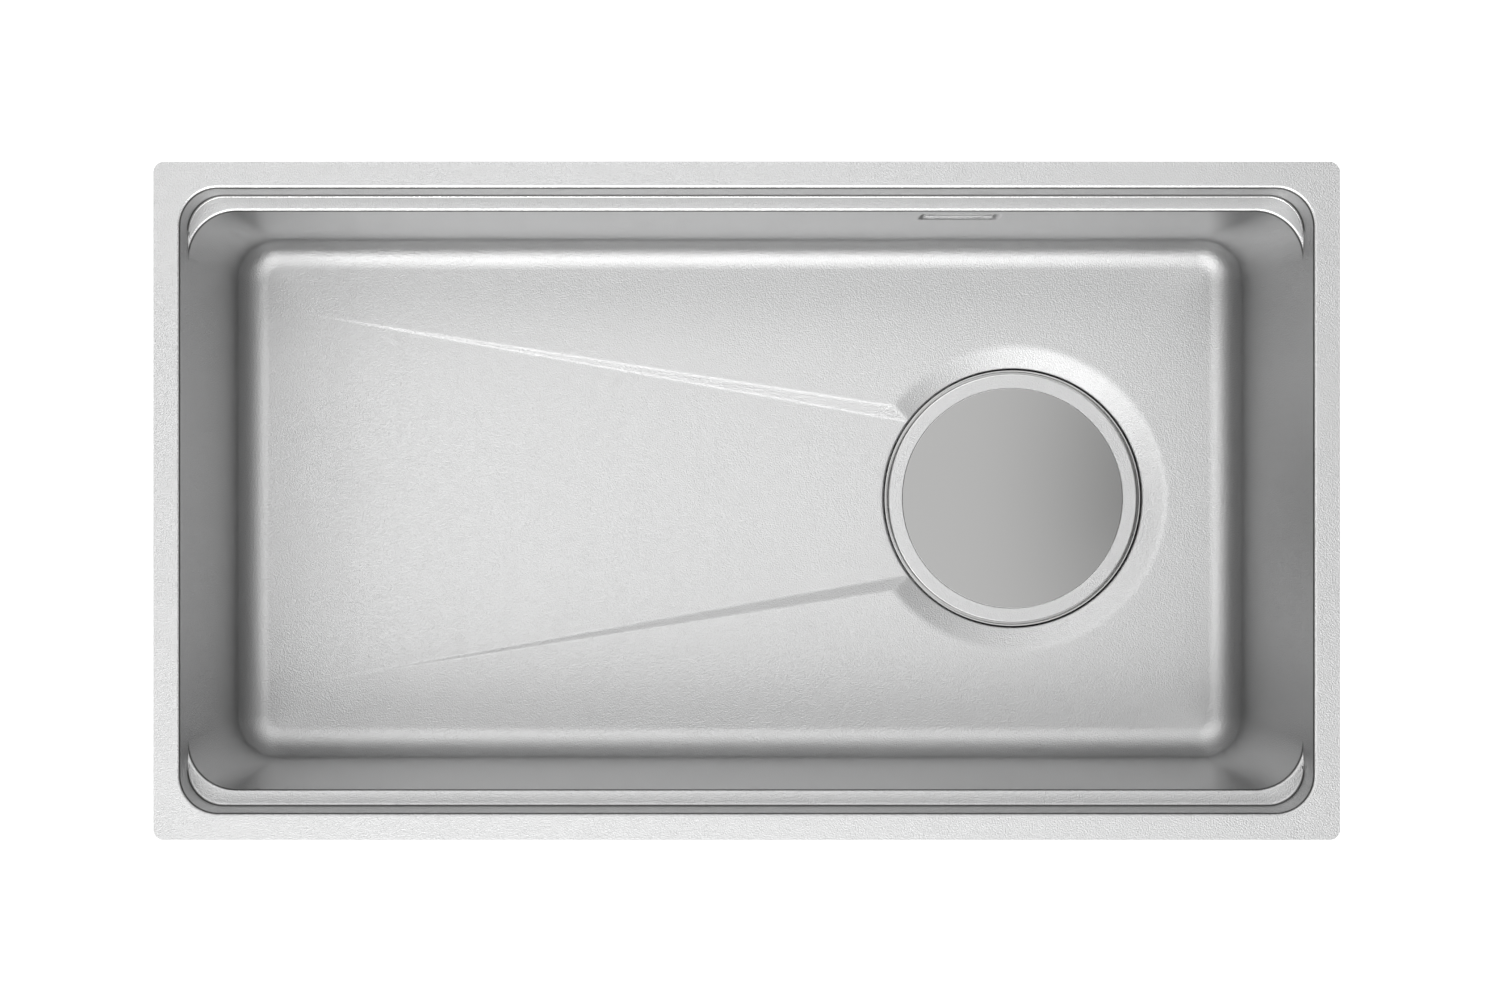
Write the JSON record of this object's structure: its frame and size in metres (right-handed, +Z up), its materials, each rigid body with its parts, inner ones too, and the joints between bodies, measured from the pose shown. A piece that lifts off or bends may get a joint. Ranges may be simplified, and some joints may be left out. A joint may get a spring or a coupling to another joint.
{
  "type": "undermount kitchen sink",
  "caption": "Single-bowl undermount steel kitchen sink with a floor that falls to a concealed drain, a lift-off cover, strainer basket, lift-out trap bell and piped overflow.",
  "frame": {"origin": "centre of the flange's top face, which meets the underside of the worktop", "axes": "+X along the bowl towards the drain, +Y to the rear wall with the overflow, +Z up"},
  "size_m": [0.84, 0.48, 0.4161],
  "materials": {
    "satin_steel": "satin",
    "polished_steel": "polished",
    "seal_rubber": "matte",
    "damping_pad": "matte",
    "grey_plastic": "satin",
    "dark_plastic": "satin"
  },
  "bodies": {
    "sink": {"bowl": "satin_steel", "floor_pad": "damping_pad", "left_pad": "damping_pad", "right_pad": "damping_pad", "front_pad": "damping_pad", "rear_pad": "damping_pad", "drain_gasket": "seal_rubber", "drain_flange": "satin_steel", "drain_screws": "satin_steel", "body_seal": "seal_rubber", "drain_body": "grey_plastic", "drain_base": "grey_plastic", "standpipe": "dark_plastic", "standpipe_seal": "seal_rubber", "outlet_washer": "seal_rubber", "outlet_nut": "dark_plastic", "overflow_cover": "satin_steel", "overflow_screws": "satin_steel", "overflow_gasket": "seal_rubber", "overflow_housing": "grey_plastic", "overflow_pipe": "grey_plastic", "upper_union_nut": "dark_plastic", "upper_union_washer": "seal_rubber", "lower_union_nut": "dark_plastic", "lower_union_washer": "seal_rubber"},
    "trap": {"trap_bell": "dark_plastic"},
    "strainer": {"basket": "satin_steel", "basket_grip": "dark_plastic"},
    "cover": {"cover_ring": "satin_steel", "cover_disc": "polished_steel", "cover_feet": "seal_rubber"},
    "elbow": {"outlet_elbow": "grey_plastic"}
  },
  "joints": [
    {"name": "trap_lift", "type": "slide", "parent": "sink", "child": "trap", "axis": [0, 0, 1], "range_m": [0, 0.33]},
    {"name": "strainer_lift", "type": "slide", "parent": "trap", "child": "strainer", "axis": [0, 0, 1], "range_m": [0, 0.28]},
    {"name": "cover_lift", "type": "slide", "parent": "strainer", "child": "cover", "axis": [0, 0, 1], "range_m": [0, 0.24]},
    {"name": "elbow_swivel", "type": "hinge", "parent": "sink", "child": "elbow", "pos_m": [0.22, 0, -0.3961], "axis": [0, 0, 1], "range_deg": [-180, 180]}
  ]
}
